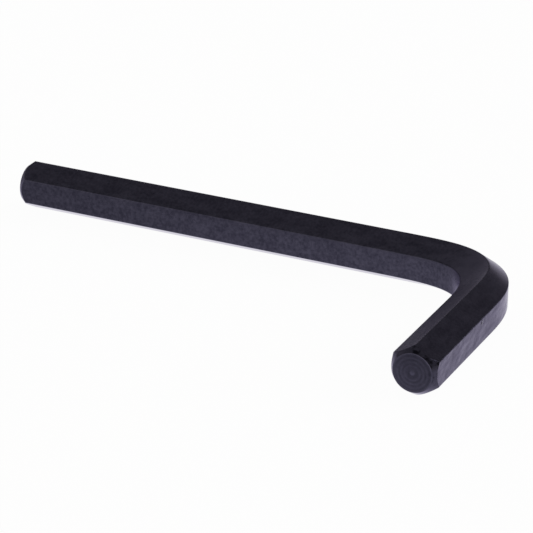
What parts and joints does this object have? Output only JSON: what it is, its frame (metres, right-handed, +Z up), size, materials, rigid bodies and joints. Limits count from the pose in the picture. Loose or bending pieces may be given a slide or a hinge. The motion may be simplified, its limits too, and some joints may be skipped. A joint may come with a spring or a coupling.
{
  "type": "hex key",
  "caption": "L-shaped key bent from hexagonal steel bar, with a turned and chamfered tip on its long arm and on its short arm, for driving hexagon socket screws.",
  "frame": {"origin": "middle of the key's footprint, on the surface that it lies on", "axes": "+Z up, square to the plane of the bend; the long arm runs along -X from the bend and the short arm along -Y; the bend is at the +X +Y corner"},
  "size_m": [0.0746, 0.0352, 0.0069],
  "materials": {
    "blackened_steel": "black oxide on drawn alloy steel bar, satin, with turned tips"
  },
  "bodies": {
    "root": {"hex_key": "blackened_steel"}
  },
  "joints": []
}
